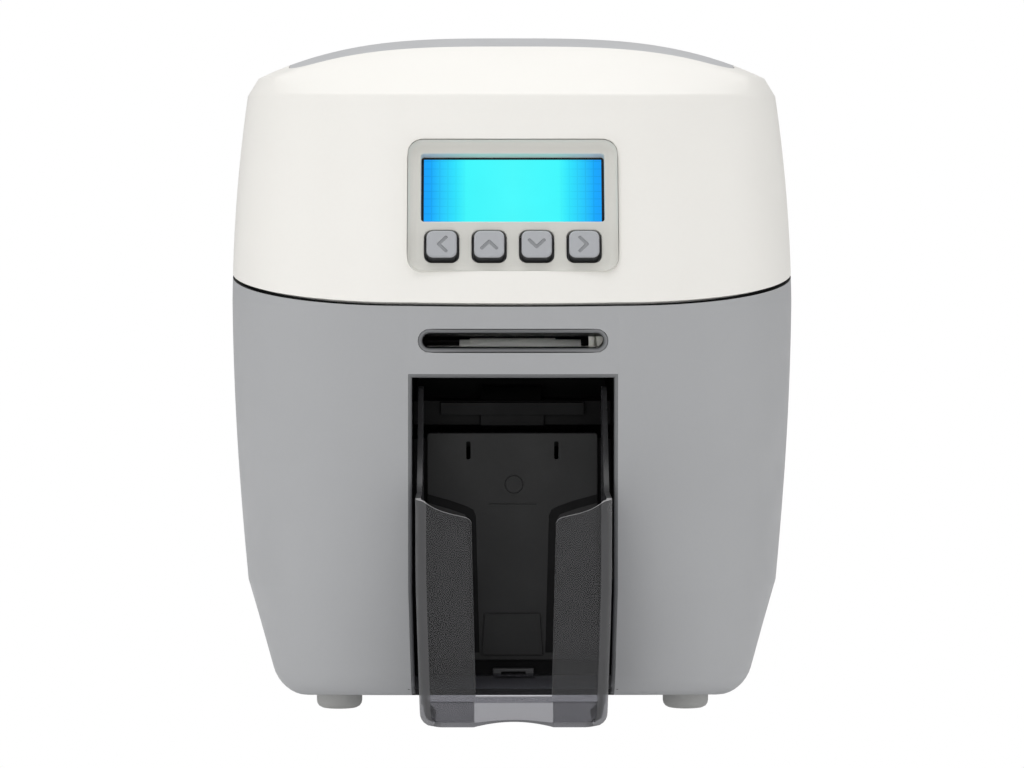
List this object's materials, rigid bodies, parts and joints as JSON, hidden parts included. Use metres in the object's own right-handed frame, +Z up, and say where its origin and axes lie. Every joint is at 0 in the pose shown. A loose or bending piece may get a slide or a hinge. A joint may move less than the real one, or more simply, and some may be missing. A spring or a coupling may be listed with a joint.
{
  "type": "id card printer",
  "caption": "Desktop plastic card printer with a rear hinged lid, front console, hand feed slot, hopper door and sliding smoke card stacker.",
  "frame": {"origin": "middle of the footprint, on the surface that the feet stand on", "axes": "+X to the right seen from the front, +Y from the front to the rear, +Z up"},
  "size_m": [0.22, 0.45, 0.261],
  "materials": {
    "body_grey": "fine moulded grain, mid grey",
    "lid_white": "fine satin moulded plastic, warm white",
    "inlay_grey": "satin light grey",
    "black_plastic": "satin black",
    "smoke_plastic": "glossy smoke tinted, a little see-through",
    "door_black": "satin near black",
    "key_grey": "satin grey",
    "rubber_grey": "matt grey rubber",
    "rubber_black": "matt black rubber",
    "rubber_pale": "pale satin rubber",
    "rubber_blue": "tacky blue rubber",
    "steel": "zinc plated sheet",
    "aluminium": "bare extruded",
    "pcb_green": "solder mask",
    "pale_plastic": "satin pale grey",
    "chip_black": "moulded components",
    "lcd_cyan": "backlit display",
    "clear_window": "clear polished window",
    "film_dark": "dyed print film",
    "ceramic": "glazed ceramic",
    "brass": "turned brass"
  },
  "bodies": {
    "root": {"body_shell": "body_grey", "front_bridge": "body_grey", "base_pan": "steel", "rubber_feet": "rubber_grey", "bay_liner": "black_plastic", "hand_feed_guide": "black_plastic", "exit_guide": "black_plastic", "side_frame_left": "steel", "side_frame_right": "steel", "tie_bars": "steel", "hopper_guides": "black_plastic", "lower_card_guide": "black_plastic", "edge_guide": "pale_plastic", "main_board": "pcb_green", "board_parts": "chip_black", "board_standoffs": "brass", "usb_socket": "steel", "ethernet_socket": "steel", "power_inlet": "black_plastic", "switch_body": "black_plastic", "rear_panel": "steel", "fan_frame": "black_plastic", "fan_grille": "steel", "main_motor": "chip_black", "film_motor": "steel", "pick_motor": "steel", "drive_belt": "rubber_black", "screws": "steel", "hinge_brackets": "steel", "print_film": "film_dark"},
    "lid": {"lid_shell": "lid_white", "top_inlay": "inlay_grey", "lid_frame": "steel", "hinge_arms": "steel", "hinge_pins": "steel", "print_head": "ceramic", "head_sink": "aluminium", "head_bracket": "black_plastic", "console_bezel": "lid_white", "lcd_window": "clear_window", "lcd_module": "lcd_cyan", "keypad_board": "pcb_green"},
    "stacker": {"card_tray": "smoke_plastic"},
    "door": {"hopper_door": "door_black"},
    "lift": {"card_lift": "black_plastic", "lift_spring": "steel"},
    "key_left": {"key_left": "key_grey"},
    "key_up_arrow": {"key_up_arrow": "key_grey"},
    "key_down_arrow": {"key_down_arrow": "key_grey"},
    "key_right": {"key_right": "key_grey"},
    "entry_roller": {"entry_roller": "rubber_pale"},
    "cleaning_roller": {"cleaning_roller": "rubber_blue"},
    "platen_roller": {"platen_roller": "rubber_black"},
    "rear_roller": {"rear_roller": "rubber_black"},
    "entry_pinch_roller": {"entry_pinch_roller": "rubber_pale"},
    "rear_pinch_roller": {"rear_pinch_roller": "rubber_pale"},
    "pick_roller": {"pick_roller": "rubber_black"},
    "motor_pulley": {"motor_pulley": "brass"},
    "supply_spool": {"supply_spool": "film_dark"},
    "takeup_spool": {"takeup_spool": "film_dark"},
    "fan_rotor": {"fan_rotor": "black_plastic"},
    "power_rocker": {"power_rocker": "black_plastic"}
  },
  "joints": [
    {"name": "lid_hinge", "type": "hinge", "parent": "root", "child": "lid", "pos_m": [0, 0.2116, 0.21145], "axis": [-1, 0, 0], "range_deg": [0, 70]},
    {"name": "stacker_slide", "type": "slide", "parent": "root", "child": "stacker", "axis": [0, -1, 0], "range_m": [0, 0.04]},
    {"name": "door_hinge", "type": "hinge", "parent": "root", "child": "door", "pos_m": [0, -0.1355, 0.017], "axis": [1, 0, 0], "range_deg": [0, 14], "stiffness_Nm_per_rad": 0.12, "springref_deg": -17.19},
    {"name": "lift_slide", "type": "slide", "parent": "root", "child": "lift", "axis": [0, 0, 1], "range_m": [-0.072, 0], "stiffness_N_per_m": 15, "springref_m": 0.05, "deforming": ["lift_spring"]},
    {"name": "key_left_press", "type": "slide", "parent": "lid", "child": "key_left", "axis": [0, 0.9203, -0.3911], "range_m": [0, 0.0012], "stiffness_N_per_m": 300},
    {"name": "key_up_arrow_press", "type": "slide", "parent": "lid", "child": "key_up_arrow", "axis": [0, 0.9203, -0.3911], "range_m": [0, 0.0012], "stiffness_N_per_m": 300},
    {"name": "key_down_arrow_press", "type": "slide", "parent": "lid", "child": "key_down_arrow", "axis": [0, 0.9203, -0.3911], "range_m": [0, 0.0012], "stiffness_N_per_m": 300},
    {"name": "key_right_press", "type": "slide", "parent": "lid", "child": "key_right", "axis": [0, 0.9203, -0.3911], "range_m": [0, 0.0012], "stiffness_N_per_m": 300},
    {"name": "platen_roller_spin", "type": "hinge", "parent": "root", "child": "platen_roller", "pos_m": [0, -0.02, 0.1372], "axis": [1, 0, 0], "continuous": true},
    {"name": "entry_roller_spin", "type": "hinge", "parent": "root", "child": "entry_roller", "pos_m": [0, -0.15, 0.1372], "axis": [1, 0, 0], "continuous": true},
    {"name": "rear_roller_spin", "type": "hinge", "parent": "root", "child": "rear_roller", "pos_m": [0, 0.058, 0.1372], "axis": [1, 0, 0], "continuous": true},
    {"name": "motor_pulley_spin", "type": "hinge", "parent": "root", "child": "motor_pulley", "pos_m": [0, 0.02, 0.075], "axis": [1, 0, 0], "continuous": true},
    {"name": "cleaning_roller_spin", "type": "hinge", "parent": "root", "child": "cleaning_roller", "pos_m": [0, -0.098, 0.1492], "axis": [1, 0, 0], "continuous": true},
    {"name": "entry_pinch_roller_spin", "type": "hinge", "parent": "root", "child": "entry_pinch_roller", "pos_m": [0, -0.15, 0.1492], "axis": [1, 0, 0], "continuous": true},
    {"name": "rear_pinch_roller_spin", "type": "hinge", "parent": "root", "child": "rear_pinch_roller", "pos_m": [0, 0.058, 0.1492], "axis": [1, 0, 0], "continuous": true},
    {"name": "pick_roller_spin", "type": "hinge", "parent": "root", "child": "pick_roller", "pos_m": [0, -0.0564, 0.112], "axis": [1, 0, 0], "continuous": true},
    {"name": "supply_spool_spin", "type": "hinge", "parent": "root", "child": "supply_spool", "pos_m": [0, 0.062, 0.18], "axis": [1, 0, 0], "continuous": true},
    {"name": "takeup_spool_spin", "type": "hinge", "parent": "root", "child": "takeup_spool", "pos_m": [0, -0.078, 0.178], "axis": [1, 0, 0], "continuous": true},
    {"name": "fan_rotor_spin", "type": "hinge", "parent": "root", "child": "fan_rotor", "pos_m": [-0.038, 0.2145, 0.105], "axis": [0, 1, 0], "continuous": true},
    {"name": "power_rocker_tilt", "type": "hinge", "parent": "root", "child": "power_rocker", "pos_m": [0.05, 0.22, 0.0916], "axis": [1, 0, 0], "range_deg": [0, 16]}
  ],
  "couplings": [
    {"joint": "entry_roller_spin", "follows": "platen_roller_spin", "ratio": 1},
    {"joint": "rear_roller_spin", "follows": "platen_roller_spin", "ratio": 1},
    {"joint": "motor_pulley_spin", "follows": "platen_roller_spin", "ratio": 1.5}
  ]
}
